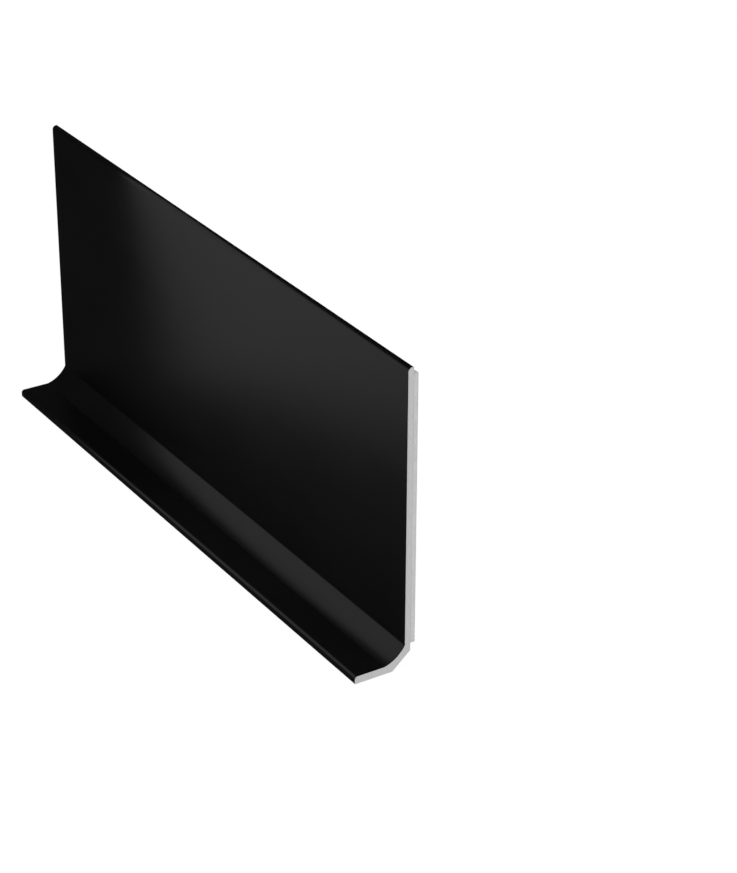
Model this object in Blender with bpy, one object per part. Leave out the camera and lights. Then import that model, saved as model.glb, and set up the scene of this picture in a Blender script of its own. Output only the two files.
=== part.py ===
"""Self-adhesive kick plate: a length of extruded cove profile with a foam strip and its liner.

The frame is in metres. X runs along the length, +Y points into the wall and Z is up. The origin
is the bottom centre of the object's box, on the underside of the foot. Every piece is one
outline in the YZ plane, extruded along X, and both ends are sawn square.
"""

import math

import bmesh
import bpy

# Whole object
LENGTH = 0.135
HEIGHT = 0.060
DEPTH = 0.0127

# Extrusion: an upright web, a concave cove and a short foot, with the back corner cut off.
# The crease angles say how far the cove's ends lean from the web and from the foot.
WEB_THICKNESS = 0.00115
FOOT_THICKNESS = 0.0015
COVE_RADIUS = 0.0066
COVE_WEB_CREASE = math.radians(30.0)
COVE_FOOT_CREASE = math.radians(11.5)
CREASE_RADIUS = 0.0005
CHAMFER_DEPTH = 0.0038
CHAMFER_HEIGHT = 0.0033
TOP_FRONT_RADIUS = 0.0008
TOP_BACK_RADIUS = 0.0002
TOE_TOP_RADIUS = 0.0006
TOE_BOTTOM_RADIUS = 0.0001

# Backing: a foam strip on the flat back of the web, and the liner on the strip's wall side
FOAM_THICKNESS = 0.0008
LINER_THICKNESS = 0.00009
BOND_LINE = 0.00002
BACKING_TOP_MARGIN = 0.00135
BACKING_BOTTOM_MARGIN = 0.00155

# Straight steps in each round stretch
COVE_STEPS = 24
CREASE_STEPS = 5
TOP_FRONT_STEPS = 8
TOE_TOP_STEPS = 8
SMALL_STEPS = 3

QUARTER_TURN = math.pi / 2
SMOOTH_BELOW = math.radians(10.0)

# Depths, measured from the wall towards the room
WALL = DEPTH / 2
TOE = WALL - DEPTH
LINER_FRONT = WALL - LINER_THICKNESS
FOAM_BACK = LINER_FRONT - BOND_LINE
FOAM_FRONT = FOAM_BACK - FOAM_THICKNESS
WEB_BACK = FOAM_FRONT - BOND_LINE
WEB_FRONT = WEB_BACK - WEB_THICKNESS

# The backing covers the flat back of the web, short of its top edge and of the cut corner
BACKING_BOTTOM = CHAMFER_HEIGHT + BACKING_BOTTOM_MARGIN
BACKING_TOP = HEIGHT - BACKING_TOP_MARGIN


def clear_scene():
    for item in list(bpy.data.objects):
        bpy.data.objects.remove(item, do_unlink=True)


def principled(name, colour, roughness, metallic):
    material = bpy.data.materials.new(name)
    material.use_nodes = True
    shader = material.node_tree.nodes["Principled BSDF"]
    shader.inputs["Base Color"].default_value = (*colour, 1.0)
    shader.inputs["Roughness"].default_value = roughness
    shader.inputs["Metallic"].default_value = metallic
    return material


def arc(centre, radius, start, end, steps):
    """Points (y, z) on a circle, from the angle start to the angle end, both ends included."""
    angles = [start + (end - start) * step / steps for step in range(steps + 1)]
    return [
        (centre[0] + radius * math.cos(angle), centre[1] + radius * math.sin(angle))
        for angle in angles
    ]


def crease_between(cove_centre):
    """Centre of the small round that meets the web's front and the cove without a corner."""
    across = COVE_RADIUS * math.cos(COVE_WEB_CREASE) - CREASE_RADIUS
    down = math.sqrt((COVE_RADIUS - CREASE_RADIUS) ** 2 - across ** 2)
    return (WEB_FRONT - CREASE_RADIUS, cove_centre[1] - down)


def profile_outline():
    """The extrusion's section, counter-clockwise as seen from +X, from the chamfer's lower end."""
    chamfer = [(WEB_BACK - CHAMFER_DEPTH, 0.0), (WEB_BACK, CHAMFER_HEIGHT)]
    top_back = arc(
        (WEB_BACK - TOP_BACK_RADIUS, HEIGHT - TOP_BACK_RADIUS),
        TOP_BACK_RADIUS,
        0.0,
        QUARTER_TURN,
        SMALL_STEPS,
    )
    top_front = arc(
        (WEB_FRONT + TOP_FRONT_RADIUS, HEIGHT - TOP_FRONT_RADIUS),
        TOP_FRONT_RADIUS,
        QUARTER_TURN,
        math.pi,
        TOP_FRONT_STEPS,
    )
    cove_centre = (
        WEB_FRONT - COVE_RADIUS * math.cos(COVE_WEB_CREASE),
        FOOT_THICKNESS + COVE_RADIUS * math.cos(COVE_FOOT_CREASE),
    )
    crease_centre = crease_between(cove_centre)
    cove_start = math.atan2(
        crease_centre[1] - cove_centre[1],
        crease_centre[0] - cove_centre[0],
    )
    crease = arc(crease_centre, CREASE_RADIUS, 0.0, cove_start, CREASE_STEPS)
    cove = arc(
        cove_centre,
        COVE_RADIUS,
        cove_start,
        COVE_FOOT_CREASE - QUARTER_TURN,
        COVE_STEPS,
    )
    toe_top = arc(
        (TOE + TOE_TOP_RADIUS, FOOT_THICKNESS - TOE_TOP_RADIUS),
        TOE_TOP_RADIUS,
        QUARTER_TURN,
        math.pi,
        TOE_TOP_STEPS,
    )
    toe_bottom = arc(
        (TOE + TOE_BOTTOM_RADIUS, TOE_BOTTOM_RADIUS),
        TOE_BOTTOM_RADIUS,
        math.pi,
        math.pi + QUARTER_TURN,
        SMALL_STEPS,
    )
    return chamfer + top_back + top_front + crease + cove[1:] + toe_top + toe_bottom


def strip_outline(front, back):
    """A flat strip's section between two depths, over the height of the backing."""
    return [
        (front, BACKING_BOTTOM),
        (back, BACKING_BOTTOM),
        (back, BACKING_TOP),
        (front, BACKING_TOP),
    ]


def extruded(name, outline, material):
    """One closed body: the outline, given counter-clockwise from +X, drawn out along the length."""
    work = bmesh.new()
    corners = [work.verts.new((LENGTH / 2, y, z)) for y, z in outline]
    near_end = work.faces.new(corners)
    drawn = bmesh.ops.extrude_face_region(work, geom=[near_end], use_keep_orig=True)
    far_corners = [item for item in drawn["geom"] if isinstance(item, bmesh.types.BMVert)]
    bmesh.ops.translate(work, vec=(-LENGTH, 0.0, 0.0), verts=far_corners)
    bmesh.ops.recalc_face_normals(work, faces=work.faces)

    mesh = bpy.data.meshes.new(name)
    work.to_mesh(mesh)
    work.free()
    mesh.shade_smooth()
    mesh.set_sharp_from_angle(angle=SMOOTH_BELOW)
    mesh.materials.append(material)
    piece = bpy.data.objects.new(name, mesh)
    bpy.context.collection.objects.link(piece)
    return piece


def make_cove_profile():
    """Web, cove and foot are one extrusion, black anodised."""
    anodised = principled("black_anodised_aluminium", (0.012, 0.012, 0.012), 0.42, 0.6)
    return extruded("cove_profile", profile_outline(), anodised)


def make_adhesive_foam_strip():
    """Double-sided foam strip, on the flat back of the web."""
    foam = principled("light_grey_foam", (0.48, 0.48, 0.48), 0.85, 0.0)
    return extruded("adhesive_foam_strip", strip_outline(FOAM_FRONT, FOAM_BACK), foam)


def make_release_liner():
    """Coated paper over the strip's wall side, peeled off when the profile is put up."""
    liner = principled("release_liner_paper", (0.72, 0.72, 0.70), 0.45, 0.0)
    return extruded("release_liner", strip_outline(LINER_FRONT, WALL), liner)


clear_scene()
make_cove_profile()
make_adhesive_foam_strip()
make_release_liner()
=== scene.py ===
import math

import bmesh
import bpy
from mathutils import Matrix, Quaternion, Vector, noise


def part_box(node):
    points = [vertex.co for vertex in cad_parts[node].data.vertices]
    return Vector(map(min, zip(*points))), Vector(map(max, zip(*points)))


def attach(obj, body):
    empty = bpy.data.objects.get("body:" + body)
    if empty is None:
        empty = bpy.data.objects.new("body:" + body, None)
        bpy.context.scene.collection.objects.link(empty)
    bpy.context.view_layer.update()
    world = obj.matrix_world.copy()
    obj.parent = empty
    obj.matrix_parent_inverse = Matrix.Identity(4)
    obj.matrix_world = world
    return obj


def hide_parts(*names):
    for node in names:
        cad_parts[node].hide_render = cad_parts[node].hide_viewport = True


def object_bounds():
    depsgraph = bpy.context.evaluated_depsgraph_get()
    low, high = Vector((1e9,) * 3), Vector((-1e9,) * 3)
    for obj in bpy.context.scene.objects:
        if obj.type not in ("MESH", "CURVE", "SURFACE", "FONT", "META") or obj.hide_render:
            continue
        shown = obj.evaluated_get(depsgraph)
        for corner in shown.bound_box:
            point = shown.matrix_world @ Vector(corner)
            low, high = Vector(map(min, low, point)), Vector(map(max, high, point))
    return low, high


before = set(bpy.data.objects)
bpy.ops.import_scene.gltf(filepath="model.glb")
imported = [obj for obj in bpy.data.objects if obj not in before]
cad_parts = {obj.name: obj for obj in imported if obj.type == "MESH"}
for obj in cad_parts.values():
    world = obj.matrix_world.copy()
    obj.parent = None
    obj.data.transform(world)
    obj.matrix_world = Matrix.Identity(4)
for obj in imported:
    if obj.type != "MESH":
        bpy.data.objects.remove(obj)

# A length of self-adhesive kick plate: an extruded cove profile, black anodised, with bare sawn
# ends, and a foam strip with its paper liner on the back.
#
# The object's box and the boxes of its three nodes, in metres in the CAD model's frame:
# X runs along the length, +Y points into the wall and Z is up from the floor.
CAD_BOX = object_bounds()
PROFILE_LOW, PROFILE_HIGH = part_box("cove_profile")
FOAM_LOW, FOAM_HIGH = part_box("adhesive_foam_strip")
LINER_LOW, LINER_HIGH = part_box("release_liner")

# The extrusion's section. The crease angles say how far the cove's ends lean from the web and
# from the foot.
WEB_THICKNESS = 0.00115
FOOT_THICKNESS = 0.0015
COVE_RADIUS = 0.0066
COVE_WEB_CREASE = math.radians(30.0)
COVE_FOOT_CREASE = math.radians(11.5)
CREASE_RADIUS = 0.0005
CHAMFER_DEPTH = 0.0038
CHAMFER_HEIGHT = 0.0033
TOP_FRONT_RADIUS = 0.0008
TOP_BACK_RADIUS = 0.0002
TOE_TOP_RADIUS = 0.0006
TOE_BOTTOM_RADIUS = 0.0001

# Edges that the saw and the slitting knife leave very slightly broken
SAWN_EDGE_BREAK = 0.000015
FOAM_EDGE_BREAK = 0.00002
LINER_EDGE_BREAK = 0.00001

# The foam's cut edges: the cells that the knife opened leave pits, and nothing stands proud
CELL_SIZE = 0.00045
PIT_DEPTH = 0.00005
CUT_STEP = 0.0003
CUT_LAYERS = 4

# Round stretches: the turn from one straight step to the next, and what counts as a crease.
# FLATS_DECIDE gives the normals beside a flat wholly to the larger face.
COVE_TURN = math.radians(1.0)
EDGE_TURN = math.radians(5.0)
METAL_CREASE = math.radians(8.0)
FOAM_CREASE = math.radians(40.0)
FLATS_DECIDE = 100
QUARTER_TURN = math.pi / 2
MM_IN_METRE = 1000.0

# Textures: the sizes of their features in millimetres, along X, Y and Z where there are three.
# In a foam cell, the pit's floor reaches CELL_FLOOR from the middle and the wall stands full from
# CELL_WALL on, in cell sizes.
DIE_LINES = (90.0, 0.22, 0.22)
ETCH = (0.10, 0.10, 0.10)
SKIN_CLOUD = (22.0, 8.0, 8.0)
SAW_STROKE = 0.55
SAW_GRIT = (0.12, 0.12, 0.12)
FOAM_CELL = 0.26
# The same mask darkens the pits' grey as painted shade.
CELL_FLOOR, CELL_WALL = 0.1, 0.8
FOAM_PATCHES = (1.6, 1.6, 1.6)
PAPER_FORMATION = (3.2, 3.2, 2.2)
PAPER_FELT = (0.5, 0.5, 0.22)
PAPER_RIPPLE = (60.0, 60.0, 6.0)

# Textures: how far their bumps rise from the lowest to the highest, in millimetres
DIE_LINE_RELIEF = 0.016
ETCH_RELIEF = 0.003
SAW_RELIEF = 0.010
GRIT_RELIEF = 0.003
CELL_RELIEF = 0.03
RIPPLE_RELIEF = 0.05
FELT_RELIEF = 0.006

# Noise is near its middle nearly everywhere, so greys and roughness spread over this much of it
NOISE_LOW, NOISE_HIGH = 0.3, 0.7

# Greys and roughness, each from the noise's low end to its high end
SKIN_GREYS = (0.0011, 0.0025)
SKIN_ROUGHNESS = (0.28, 0.34)
SKIN_IOR = 2.08
SAWN_GREYS = (0.72, 0.81)
SAWN_ROUGHNESS = (0.5, 0.38)
SAWN_METALLIC = 0.5
# The foam's darker grey is partly painted shade in the cut cells' pits
FOAM_GREYS_AND_PIT_SHADE = (0.48, 0.56)
FOAM_ROUGHNESS = (0.78, 0.9)
FOAM_SPECULAR = 0.3
PAPER_GREYS = (0.63, 0.69)
PAPER_WARMTH = 0.015
PAPER_ROUGHNESS = (0.34, 0.46)

# The saw blade's centre as it crossed the section, in metres
BLADE_CENTRE = (0.0, -0.105, -0.02)

# The photograph's view: the camera looks at a point on the front of the web. An azimuth is
# measured from -Y towards +X, and an elevation upwards.
CAMERA_AZIMUTH = math.radians(57.38)
CAMERA_ELEVATION = math.radians(27.51)
CAMERA_ROLL = math.radians(0.317)
CAMERA_DISTANCE = 0.4705
CAMERA_NEAR, CAMERA_FAR = 0.01, 10.0
CAMERA_LENS = 109.89
SENSOR = 36.0
AIM_FROM_RIGHT_END = 0.01253
AIM_HEIGHT = 0.04139

# The key light: a soft panel close in front, placed from the bottom centre of the object's box,
# and the way that it faces. What one face of the black skin throws on to the next is mostly held
# back: Ray Depth at the panel is 2 for one face on the way to the camera, and 3 for two.
KEY_PLACE = Vector((-0.0012, -0.0323, 0.0394))
KEY_AZIMUTH = math.radians(152.6)
KEY_ELEVATION = math.radians(-23.3)
KEY_ROLL = math.radians(-2.2)
KEY_WIDTH = 0.1056
KEY_HEIGHT = 0.0868
KEY_POWER = 0.00447
KEY_SECOND_BOUNCE = 0.25
DEPTH_BY_ONE_FACE, DEPTH_BY_TWO_FACES = 2.0, 3.0

# The floor: white all over, a hair below the foot
FLOOR_SIZE = 4.0
FLOOR_GAP = 0.0001
FLOOR_GREY = 0.04
FLOOR_ROUGHNESS = 0.9
FLOOR_GLOW = 0.97

# The surroundings that the skin mirrors: a dark screen at the front left, lighter elsewhere
SCREEN_SIDE = Vector((-0.75, -0.30, 0.35)).normalized()
SCREEN_OUTER = math.cos(math.radians(95.0))
SCREEN_INNER = math.cos(math.radians(62.0))
MIRRORED_DARK = 0.015
MIRRORED_BRIGHT = 0.20

# The sockets of a Mix node that mixes numbers
MIX_SHARE, MIX_FIRST, MIX_SECOND = 0, 2, 3


def arc(centre, radius, start, end, turn):
    """Points (y, z) on a circle, from the angle start to the angle end, both ends included."""
    steps = max(2, round(abs(end - start) / turn))
    angles = [start + (end - start) * step / steps for step in range(steps + 1)]
    return [
        (centre[0] + radius * math.cos(angle), centre[1] + radius * math.sin(angle))
        for angle in angles
    ]


def crease_between(front, cove_centre):
    """Centre of the small round that meets the web's front and the cove without a corner."""
    across = COVE_RADIUS * math.cos(COVE_WEB_CREASE) - CREASE_RADIUS
    down = math.sqrt((COVE_RADIUS - CREASE_RADIUS) ** 2 - across ** 2)
    return (front - CREASE_RADIUS, cove_centre[1] - down)


def profile_outline():
    """The extrusion's section, counter-clockwise as seen from +X, from the chamfer's lower end."""
    back, toe = PROFILE_HIGH.y, PROFILE_LOW.y
    floor, top = PROFILE_LOW.z, PROFILE_HIGH.z
    front = back - WEB_THICKNESS
    chamfer = [(back - CHAMFER_DEPTH, floor), (back, floor + CHAMFER_HEIGHT)]
    top_back = arc(
        (back - TOP_BACK_RADIUS, top - TOP_BACK_RADIUS),
        TOP_BACK_RADIUS,
        0.0,
        QUARTER_TURN,
        EDGE_TURN,
    )
    top_front = arc(
        (front + TOP_FRONT_RADIUS, top - TOP_FRONT_RADIUS),
        TOP_FRONT_RADIUS,
        QUARTER_TURN,
        math.pi,
        EDGE_TURN,
    )
    cove_centre = (
        front - COVE_RADIUS * math.cos(COVE_WEB_CREASE),
        floor + FOOT_THICKNESS + COVE_RADIUS * math.cos(COVE_FOOT_CREASE),
    )
    crease_centre = crease_between(front, cove_centre)
    cove_start = math.atan2(
        crease_centre[1] - cove_centre[1],
        crease_centre[0] - cove_centre[0],
    )
    crease = arc(crease_centre, CREASE_RADIUS, 0.0, cove_start, EDGE_TURN)
    cove = arc(
        cove_centre,
        COVE_RADIUS,
        cove_start,
        COVE_FOOT_CREASE - QUARTER_TURN,
        COVE_TURN,
    )
    toe_top = arc(
        (toe + TOE_TOP_RADIUS, floor + FOOT_THICKNESS - TOE_TOP_RADIUS),
        TOE_TOP_RADIUS,
        QUARTER_TURN,
        math.pi,
        EDGE_TURN,
    )
    toe_bottom = arc(
        (toe + TOE_BOTTOM_RADIUS, floor + TOE_BOTTOM_RADIUS),
        TOE_BOTTOM_RADIUS,
        math.pi,
        math.pi + QUARTER_TURN,
        EDGE_TURN,
    )
    return chamfer + top_back + top_front + crease + cove[1:] + toe_top + toe_bottom


def inset(outline, amount):
    """The same outline drawn in by amount along the mitre of each corner."""
    inner = []
    for index, point in enumerate(outline):
        before = Vector(point) - Vector(outline[index - 1])
        after = Vector(outline[(index + 1) % len(outline)]) - Vector(point)
        before.normalize()
        after.normalize()
        inward = Vector((-before.y - after.y, before.x + after.x)).normalized()
        across = Vector((-after.y, after.x))
        inner.append(tuple(Vector(point) + inward * amount / inward.dot(across)))
    return inner


def ring(work, outline, x):
    """The outline's corners at one place along the length."""
    return [work.verts.new((x, y, z)) for y, z in outline]


def bridge(work, first, second, material_index):
    """Quads between two rings that have as many corners as each other."""
    for index in range(len(first)):
        after = (index + 1) % len(first)
        face = work.faces.new((first[index], second[index], second[after], first[after]))
        face.material_index = material_index


def mesh_piece(name, work, materials, crease):
    """The mesh as a piece: smooth below the crease angle, with true normals on the flats."""
    bmesh.ops.recalc_face_normals(work, faces=work.faces)
    mesh = bpy.data.meshes.new(name)
    work.to_mesh(mesh)
    work.free()
    mesh.shade_smooth()
    mesh.set_sharp_from_angle(angle=crease)
    for item in materials:
        mesh.materials.append(item)
    piece = bpy.data.objects.new(name, mesh)
    bpy.context.collection.objects.link(piece)
    weighted = piece.modifiers.new("flats_keep_their_normals", "WEIGHTED_NORMAL")
    weighted.mode = "FACE_AREA"
    weighted.weight = FLATS_DECIDE
    weighted.keep_sharp = True
    return piece


def stand_for(piece, node):
    """The piece takes the place of a CAD node: it hangs under the root body, and the node is
    hidden.
    """
    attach(piece, "root")
    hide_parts(node)


def extruded(name, outline, low, high, edge_break, materials):
    """The outline drawn out along the length, with a narrow broken edge round each end."""
    side, end = 0, len(materials) - 1
    work = bmesh.new()
    inner = inset(outline, edge_break)
    rings = [
        ring(work, inner, high),
        ring(work, outline, high - edge_break),
        ring(work, outline, low + edge_break),
        ring(work, inner, low),
    ]
    bridge(work, rings[0], rings[1], end)
    bridge(work, rings[1], rings[2], side)
    bridge(work, rings[2], rings[3], end)
    for corners in (rings[0], rings[3]):
        work.faces.new(corners).material_index = end
    return mesh_piece(name, work, materials, METAL_CREASE)


# Materials -----------------------------------------------------------------------------------


class Surface:
    """A node material in the making; lengths in its textures are millimetres of the object."""

    def __init__(self, name):
        self.material = bpy.data.materials.new(name)
        self.material.use_nodes = True
        self.tree = self.material.node_tree
        self.shader = self.tree.nodes["Principled BSDF"]
        place = self.tree.nodes.new("ShaderNodeTexCoord")
        self.place = place.outputs["Object"]

    def node(self, kind, inputs, **settings):
        made = self.tree.nodes.new(kind)
        for key, value in settings.items():
            setattr(made, key, value)
        for key, value in inputs.items():
            if isinstance(value, bpy.types.NodeSocket):
                self.tree.links.new(value, made.inputs[key])
            else:
                made.inputs[key].default_value = value
        return made

    def grain(self, size, detail=2.0, roughness=0.5):
        """Noise from 0 to 1 whose features measure size, in millimetres along X, Y and Z."""
        scale = [MM_IN_METRE / length for length in size]
        mapping = self.node("ShaderNodeMapping", {"Vector": self.place, "Scale": scale})
        made = self.node(
            "ShaderNodeTexNoise",
            {
                "Vector": mapping.outputs["Vector"],
                "Scale": 1.0,
                "Detail": detail,
                "Roughness": roughness,
            },
        )
        return made.outputs["Fac"]

    def mix(self, first, second, share):
        """first where share is 0 and second where it is 1, for numbers."""
        made = self.node(
            "ShaderNodeMix",
            {MIX_SHARE: share, MIX_FIRST: first, MIX_SECOND: second},
            data_type="FLOAT",
        )
        return made.outputs["Result"]

    def maths(self, operation, first, second):
        return self.node("ShaderNodeMath", {0: first, 1: second}, operation=operation).outputs[0]

    def remap(self, value, low, high, start=NOISE_LOW, end=NOISE_HIGH):
        """The value's stretch from start to end, spread from low to high."""
        made = self.node(
            "ShaderNodeMapRange",
            {"Value": value, "From Min": start, "From Max": end, "To Min": low, "To Max": high},
        )
        return made.outputs["Result"]

    def colour(self, value, dark, light):
        """Tints from dark to light as the value goes from its low end to its high end."""
        ramp = self.node("ShaderNodeValToRGB", {"Fac": value})
        ramp.color_ramp.elements[0].position = NOISE_LOW
        ramp.color_ramp.elements[0].color = (*dark, 1.0)
        ramp.color_ramp.elements[1].position = NOISE_HIGH
        ramp.color_ramp.elements[1].color = (*light, 1.0)
        self.tree.links.new(ramp.outputs["Color"], self.shader.inputs["Base Color"])

    def rough(self, value, ends):
        self.tree.links.new(self.remap(value, *ends), self.shader.inputs["Roughness"])

    def bump(self, *layers):
        """Layers of (pattern from 0 to 1, height in millimetres), one on top of the other."""
        normal = None
        for pattern, height in layers:
            inputs = {"Height": pattern, "Distance": height / MM_IN_METRE}
            if normal is not None:
                inputs["Normal"] = normal
            normal = self.node("ShaderNodeBump", inputs).outputs["Normal"]
        self.tree.links.new(normal, self.shader.inputs["Normal"])

    def set(self, name, value):
        self.shader.inputs[name].default_value = value


def grey(level):
    return (level, level, level)


def warm(level):
    return (level, level, level - PAPER_WARMTH)


def black_anodised():
    """Satin black anodised skin: an etched micro-grain over faint drawn lines from the die."""
    skin = Surface("satin_black_anodised")
    lines = skin.grain(DIE_LINES, detail=5.0, roughness=0.65)
    etch = skin.grain(ETCH)
    cloud = skin.grain(SKIN_CLOUD)
    skin.colour(skin.mix(lines, cloud, share=0.5), *map(grey, SKIN_GREYS))
    skin.rough(skin.mix(cloud, lines, share=0.6), SKIN_ROUGHNESS)
    skin.bump((lines, DIE_LINE_RELIEF), (etch, ETCH_RELIEF))
    skin.set("IOR", SKIN_IOR)
    return skin.material


def sawn_aluminium():
    """Bare metal off a circular saw: shallow arcs round the blade's centre, and a matte glint."""
    cut = Surface("sawn_aluminium")
    to_blade = cut.node(
        "ShaderNodeVectorMath",
        {0: cut.place, 1: BLADE_CENTRE},
        operation="SUBTRACT",
    )
    in_section = cut.node(
        "ShaderNodeVectorMath",
        {0: to_blade.outputs[0], 1: (0.0, 1.0, 1.0)},
        operation="MULTIPLY",
    )
    reach = cut.node("ShaderNodeVectorMath", {0: in_section.outputs[0]}, operation="LENGTH")
    strokes = cut.node(
        "ShaderNodeTexNoise",
        {
            "W": cut.maths("MULTIPLY", reach.outputs["Value"], MM_IN_METRE / SAW_STROKE),
            "Scale": 1.0,
            "Detail": 3.0,
            "Roughness": 0.7,
        },
        noise_dimensions="1D",
    ).outputs["Fac"]
    grit = cut.grain(SAW_GRIT)
    worn = cut.mix(strokes, grit, share=0.3)
    cut.colour(worn, *map(grey, SAWN_GREYS))
    cut.rough(worn, SAWN_ROUGHNESS)
    cut.bump((strokes, SAW_RELIEF), (grit, GRIT_RELIEF))
    cut.set("Metallic", SAWN_METALLIC)
    return cut.material


def grey_foam():
    """Closed-cell foam, cut across: opened cells as fine pits with painted shade in them, over a
    slightly uneven grey.
    """
    foam = Surface("light_grey_foam")
    cells = foam.node(
        "ShaderNodeTexVoronoi",
        {"Vector": foam.place, "Scale": MM_IN_METRE / FOAM_CELL, "Randomness": 1.0},
    ).outputs["Distance"]
    walls_and_pit_shade = foam.remap(cells, 0.0, 1.0, start=CELL_FLOOR, end=CELL_WALL)
    patches = foam.grain(FOAM_PATCHES)
    # The cell mask also darkens the grey in the pits and lightens it on the walls: painted shade.
    foam.colour(foam.mix(patches, walls_and_pit_shade, share=0.45), *map(grey, FOAM_GREYS_AND_PIT_SHADE))
    foam.rough(patches, FOAM_ROUGHNESS)
    foam.bump((walls_and_pit_shade, CELL_RELIEF))
    foam.set("Specular IOR Level", FOAM_SPECULAR)
    return foam.material


def liner_paper():
    """Glassine release paper: cloudy formation, a fine felt mark and a slight silicone shine."""
    paper = Surface("release_paper")
    formation = paper.grain(PAPER_FORMATION, detail=4.0, roughness=0.6)
    felt = paper.grain(PAPER_FELT)
    ripple = paper.grain(PAPER_RIPPLE, detail=1.0)
    paper.colour(paper.mix(formation, felt, share=0.35), *map(warm, PAPER_GREYS))
    paper.rough(formation, PAPER_ROUGHNESS)
    paper.bump((ripple, RIPPLE_RELIEF), (felt, FELT_RELIEF))
    return paper.material


# Pieces --------------------------------------------------------------------------------------


def make_profile():
    """The extrusion: black anodised along its length, bare where the saw cut it."""
    piece = extruded(
        "extruded_profile",
        profile_outline(),
        PROFILE_LOW.x,
        PROFILE_HIGH.x,
        SAWN_EDGE_BREAK,
        [black_anodised(), sawn_aluminium()],
    )
    stand_for(piece, "cove_profile")


def strip_outline(low, high):
    """A flat strip's section between the low and high corners of its box."""
    return [(low.y, low.z), (high.y, low.z), (high.y, high.z), (low.y, high.z)]


def cut_line():
    """Points (x, z) round the foam strip's four cut edges, each with its direction inwards."""
    corners = [
        (Vector((FOAM_LOW.x, FOAM_LOW.z)), Vector((1.0, 1.0))),
        (Vector((FOAM_HIGH.x, FOAM_LOW.z)), Vector((-1.0, 1.0))),
        (Vector((FOAM_HIGH.x, FOAM_HIGH.z)), Vector((-1.0, -1.0))),
        (Vector((FOAM_LOW.x, FOAM_HIGH.z)), Vector((1.0, -1.0))),
    ]
    line = []
    for index, (start, diagonal) in enumerate(corners):
        run = corners[(index + 1) % len(corners)][0] - start
        steps = round(run.length / CUT_STEP)
        inwards = Vector((-run.y, run.x)).normalized()
        line.append((start, diagonal))
        line += [(start + run * step / steps, inwards) for step in range(1, steps)]
    return line


def pitted_ring(work, line, y, inset_by, pits):
    """The cut line at one depth, drawn in all round and, where pits is true, at open cells."""
    corners = []
    for point, inwards in line:
        place = Vector((point.x, y, point.y))
        depth = inset_by
        if pits:
            depth += PIT_DEPTH * max(0.0, noise.noise(place / CELL_SIZE))
        place += Vector((inwards.x, 0.0, inwards.y)) * depth
        corners.append(work.verts.new(place))
    return corners


def make_foam():
    """The strip: two flat faces, and four edges with the pits that a cut leaves in foam."""
    work = bmesh.new()
    line = cut_line()
    first, last = FOAM_LOW.y + FOAM_EDGE_BREAK, FOAM_HIGH.y - FOAM_EDGE_BREAK
    rings = [pitted_ring(work, line, FOAM_LOW.y, FOAM_EDGE_BREAK, False)]
    for layer in range(CUT_LAYERS + 1):
        y = first + (last - first) * layer / CUT_LAYERS
        rings.append(pitted_ring(work, line, y, 0.0, True))
    rings.append(pitted_ring(work, line, FOAM_HIGH.y, FOAM_EDGE_BREAK, False))
    for near, far in zip(rings, rings[1:]):
        bridge(work, near, far, 0)
    work.faces.new(rings[0])
    work.faces.new(rings[-1])
    piece = mesh_piece("foam_strip", work, [grey_foam()], FOAM_CREASE)
    stand_for(piece, "adhesive_foam_strip")


def make_liner():
    """The paper over the strip's wall side."""
    piece = extruded(
        "paper_liner",
        strip_outline(LINER_LOW, LINER_HIGH),
        LINER_LOW.x,
        LINER_HIGH.x,
        LINER_EDGE_BREAK,
        [liner_paper()],
    )
    stand_for(piece, "release_liner")


# Studio --------------------------------------------------------------------------------------


def heading(azimuth, elevation):
    """The unit vector that points that way."""
    return Vector(
        (
            math.sin(azimuth) * math.cos(elevation),
            -math.cos(azimuth) * math.cos(elevation),
            math.sin(elevation),
        )
    )


def facing(direction, roll):
    """The turn that makes a camera or a light look along the direction."""
    return direction.to_track_quat("-Z", "Y") @ Quaternion((0.0, 0.0, 1.0), roll)


def make_camera():
    """The photograph's view, with no shift and no depth of field."""
    backwards = heading(CAMERA_AZIMUTH, CAMERA_ELEVATION)
    aim = Vector(
        (
            PROFILE_HIGH.x - AIM_FROM_RIGHT_END,
            PROFILE_HIGH.y - WEB_THICKNESS,
            PROFILE_LOW.z + AIM_HEIGHT,
        )
    )
    data = bpy.data.cameras.new("camera")
    data.lens = CAMERA_LENS
    data.sensor_width = SENSOR
    data.clip_start = CAMERA_NEAR
    data.clip_end = CAMERA_FAR
    camera = bpy.data.objects.new("camera", data)
    bpy.context.collection.objects.link(camera)
    camera.location = aim + backwards * CAMERA_DISTANCE
    camera.rotation_mode = "QUATERNION"
    camera.rotation_quaternion = facing(-backwards, CAMERA_ROLL)
    bpy.context.scene.camera = camera


def make_key_light():
    """The soft panel, which the camera doesn't see."""
    data = bpy.data.lights.new("key", "AREA")
    data.shape = "RECTANGLE"
    data.size = KEY_WIDTH
    data.size_y = KEY_HEIGHT
    data.energy = KEY_POWER
    light = bpy.data.objects.new("key", data)
    bpy.context.collection.objects.link(light)
    low, high = CAD_BOX
    bottom_centre = Vector(((low[0] + high[0]) / 2, (low[1] + high[1]) / 2, low[2]))
    light.location = bottom_centre + KEY_PLACE
    light.rotation_mode = "QUATERNION"
    light.rotation_quaternion = facing(heading(KEY_AZIMUTH, KEY_ELEVATION), KEY_ROLL)
    light.visible_camera = False
    data.use_nodes = True
    nodes, links = data.node_tree.nodes, data.node_tree.links
    rays = nodes.new("ShaderNodeLightPath")
    held_back = nodes.new("ShaderNodeMapRange")
    held_back.inputs["From Min"].default_value = DEPTH_BY_ONE_FACE
    held_back.inputs["From Max"].default_value = DEPTH_BY_TWO_FACES
    held_back.inputs["To Min"].default_value = 1.0
    held_back.inputs["To Max"].default_value = KEY_SECOND_BOUNCE
    links.new(rays.outputs["Ray Depth"], held_back.inputs["Value"])
    links.new(held_back.outputs["Result"], nodes["Emission"].inputs["Strength"])


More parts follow.
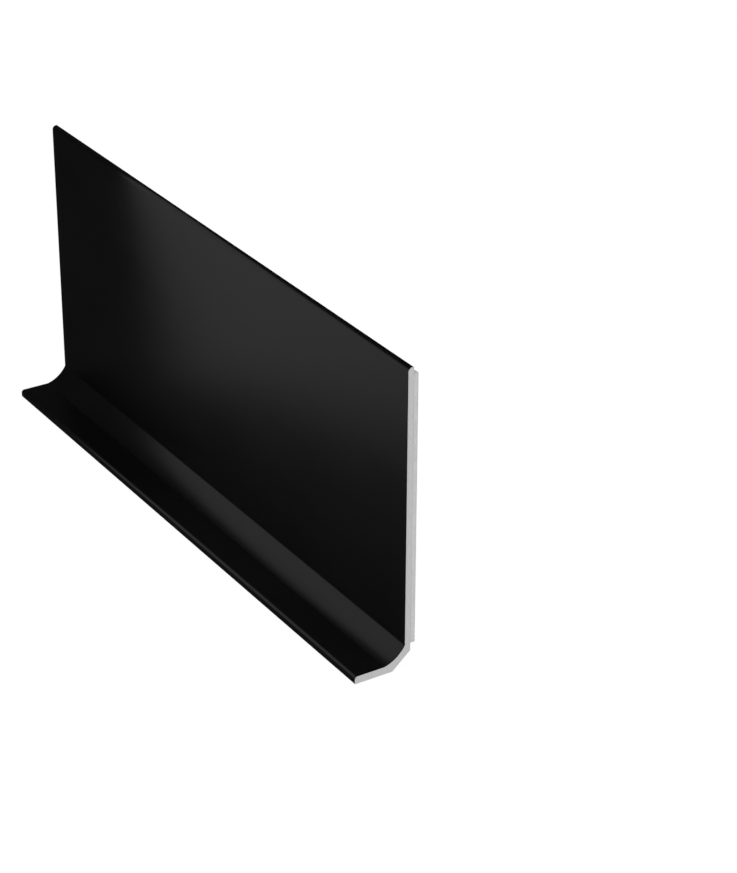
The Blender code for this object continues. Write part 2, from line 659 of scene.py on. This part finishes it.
def make_floor():
    """A plain floor that its own glow keeps white, with hardly a shadow on it."""
    work = bmesh.new()
    half = FLOOR_SIZE / 2
    level = PROFILE_LOW.z - FLOOR_GAP
    corners = [(-half, -half), (half, -half), (half, half), (-half, half)]
    work.faces.new([work.verts.new((x, y, level)) for x, y in corners])
    mesh = bpy.data.meshes.new("floor")
    work.to_mesh(mesh)
    work.free()
    floor = bpy.data.objects.new("floor", mesh)
    bpy.context.collection.objects.link(floor)
    white = bpy.data.materials.new("floor")
    white.use_nodes = True
    shader = white.node_tree.nodes["Principled BSDF"]
    shader.inputs["Base Color"].default_value = (*grey(FLOOR_GREY), 1.0)
    shader.inputs["Roughness"].default_value = FLOOR_ROUGHNESS
    shader.inputs["Specular IOR Level"].default_value = 0.0
    shader.inputs["Emission Color"].default_value = (*grey(1.0), 1.0)
    shader.inputs["Emission Strength"].default_value = FLOOR_GLOW
    mesh.materials.append(white)
    floor.visible_glossy = False
    floor.visible_shadow = False


def make_world():
    """White to the camera and soft all round; what shines sees a dark screen at the front left.

    Sampled as a light, the world would leak its white into what shines, so it isn't.
    """
    world = bpy.data.worlds.new("studio")
    world.use_nodes = True
    world.cycles.sampling_method = "NONE"
    nodes, links = world.node_tree.nodes, world.node_tree.links
    sky = nodes["Background"]
    sky.inputs["Color"].default_value = (*grey(1.0), 1.0)
    rays = nodes.new("ShaderNodeLightPath")
    side = nodes.new("ShaderNodeTexCoord")
    towards = nodes.new("ShaderNodeVectorMath")
    towards.operation = "DOT_PRODUCT"
    towards.inputs[1].default_value = SCREEN_SIDE
    links.new(side.outputs["Generated"], towards.inputs[0])
    mirrored = nodes.new("ShaderNodeMapRange")
    mirrored.interpolation_type = "SMOOTHSTEP"
    mirrored.inputs["From Min"].default_value = SCREEN_OUTER
    mirrored.inputs["From Max"].default_value = SCREEN_INNER
    mirrored.inputs["To Min"].default_value = MIRRORED_BRIGHT
    mirrored.inputs["To Max"].default_value = MIRRORED_DARK
    links.new(towards.outputs["Value"], mirrored.inputs["Value"])
    level = nodes.new("ShaderNodeMix")
    level.data_type = "FLOAT"
    level.inputs[MIX_FIRST].default_value = 1.0
    links.new(mirrored.outputs["Result"], level.inputs[MIX_SECOND])
    links.new(rays.outputs["Is Glossy Ray"], level.inputs[MIX_SHARE])
    links.new(level.outputs["Result"], sky.inputs["Strength"])
    bpy.context.scene.world = world


make_profile()
make_foam()
make_liner()
make_floor()
make_world()
make_key_light()
make_camera()
bpy.context.scene.view_settings.view_transform = "Standard"
